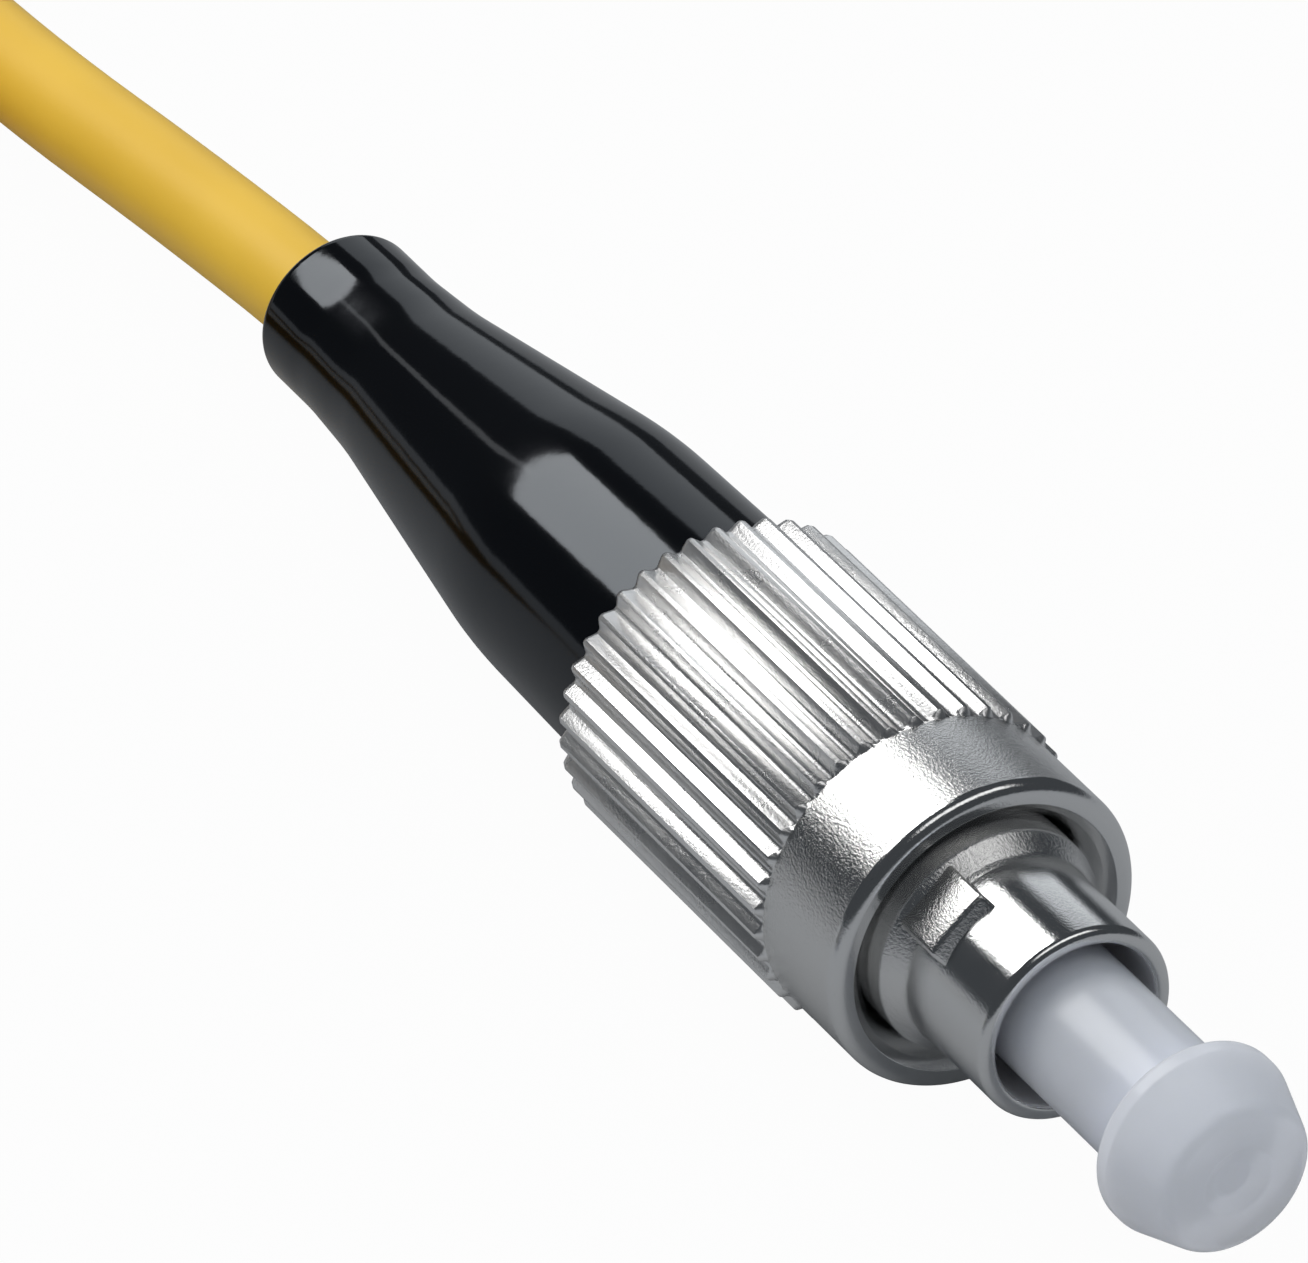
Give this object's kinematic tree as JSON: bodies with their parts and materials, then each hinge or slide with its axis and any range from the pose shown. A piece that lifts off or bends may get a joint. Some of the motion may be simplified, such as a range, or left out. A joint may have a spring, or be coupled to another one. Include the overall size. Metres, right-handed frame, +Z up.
{
  "type": "lc to fc fibre patch cord",
  "caption": "Yellow simplex fibre patch cord with a ribbed metal FC screw plug in a black boot, a coil of cable held by a tie, and a small blue LC push-pull plug, both tips capped.",
  "frame": {"origin": "on the surface that the cord lies on, under the middle of the FC plug's length", "axes": "+X along the FC plug towards its tip, +Z up"},
  "size_m": [0.1085, 0.0507, 0.01],
  "materials": {
    "nickel": "nickel plated",
    "ceramic": "polished",
    "spring_steel": "drawn wire",
    "yarn": "fibrous",
    "boot_black": "gloss",
    "boot_white": "satin",
    "cap": "translucent",
    "buffer": "satin",
    "jacket": "satin",
    "tie": "woven",
    "housing": "satin"
  },
  "bodies": {
    "cord": {"fc_plug_frame": "nickel", "fc_spring": "spring_steel", "fc_rear_body": "nickel", "fc_strength_yarn": "yarn", "fc_crimp_sleeve": "nickel", "fc_boot": "boot_black", "fc_fibre": "buffer", "cable_lead": "jacket", "cable_coil": "jacket", "cable_tail": "jacket", "coil_tie": "tie", "lc_housing": "housing", "lc_spring": "spring_steel", "lc_rear_body": "nickel", "lc_strength_yarn": "yarn", "lc_crimp_sleeve": "nickel", "lc_boot": "boot_white", "lc_fibre": "buffer"},
    "nut_slider": {"fc_retaining_ring": "nickel"},
    "nut": {"fc_coupling_nut": "nickel"},
    "fc_ferrule_unit": {"fc_ferrule": "ceramic", "fc_ferrule_holder": "nickel"},
    "fc_cap": {"fc_dust_cap": "cap"},
    "lc_ferrule_unit": {"lc_ferrule": "ceramic", "lc_ferrule_holder": "nickel"},
    "lc_cap": {"lc_dust_cap": "cap"},
    "lc_trigger_lever": {"lc_trigger": "housing"},
    "lc_latch_arm": {"lc_latch": "housing"}
  },
  "joints": [
    {"name": "nut_travel", "type": "slide", "parent": "cord", "child": "nut_slider", "axis": [1, 0, 0], "range_m": [-0.0033, 0.0028]},
    {"name": "nut_spin", "type": "hinge", "parent": "nut_slider", "child": "nut", "pos_m": [0.00385, 0, 0.005], "axis": [1, 0, 0], "continuous": true},
    {"name": "fc_ferrule_float", "type": "slide", "parent": "cord", "child": "fc_ferrule_unit", "axis": [1, 0, 0], "range_m": [-0.0012, 0], "stiffness_N_per_m": 2500, "deforming": ["fc_spring"]},
    {"name": "fc_cap_pull", "type": "slide", "parent": "fc_ferrule_unit", "child": "fc_cap", "axis": [1, 0, 0], "range_m": [0, 0.012]},
    {"name": "lc_ferrule_float", "type": "slide", "parent": "cord", "child": "lc_ferrule_unit", "axis": [1, 0, 0], "range_m": [-0.001, 0], "stiffness_N_per_m": 1500, "deforming": ["lc_spring"]},
    {"name": "lc_cap_pull", "type": "slide", "parent": "lc_ferrule_unit", "child": "lc_cap", "axis": [1, 0, 0], "range_m": [0, 0.008]},
    {"name": "lc_trigger_press", "type": "hinge", "parent": "cord", "child": "lc_trigger_lever", "pos_m": [0.0074, -0.0405, 0.00575], "axis": [0, 1, 0], "range_deg": [0, 12], "stiffness_Nm_per_rad": 0.1},
    {"name": "lc_latch_flex", "type": "hinge", "parent": "cord", "child": "lc_latch_arm", "pos_m": [0.0202, -0.0405, 0.00535], "axis": [0, 1, 0], "range_deg": [-8, 0]}
  ],
  "couplings": [
    {"joint": "lc_latch_flex", "follows": "lc_trigger_press", "ratio": -0.5}
  ]
}
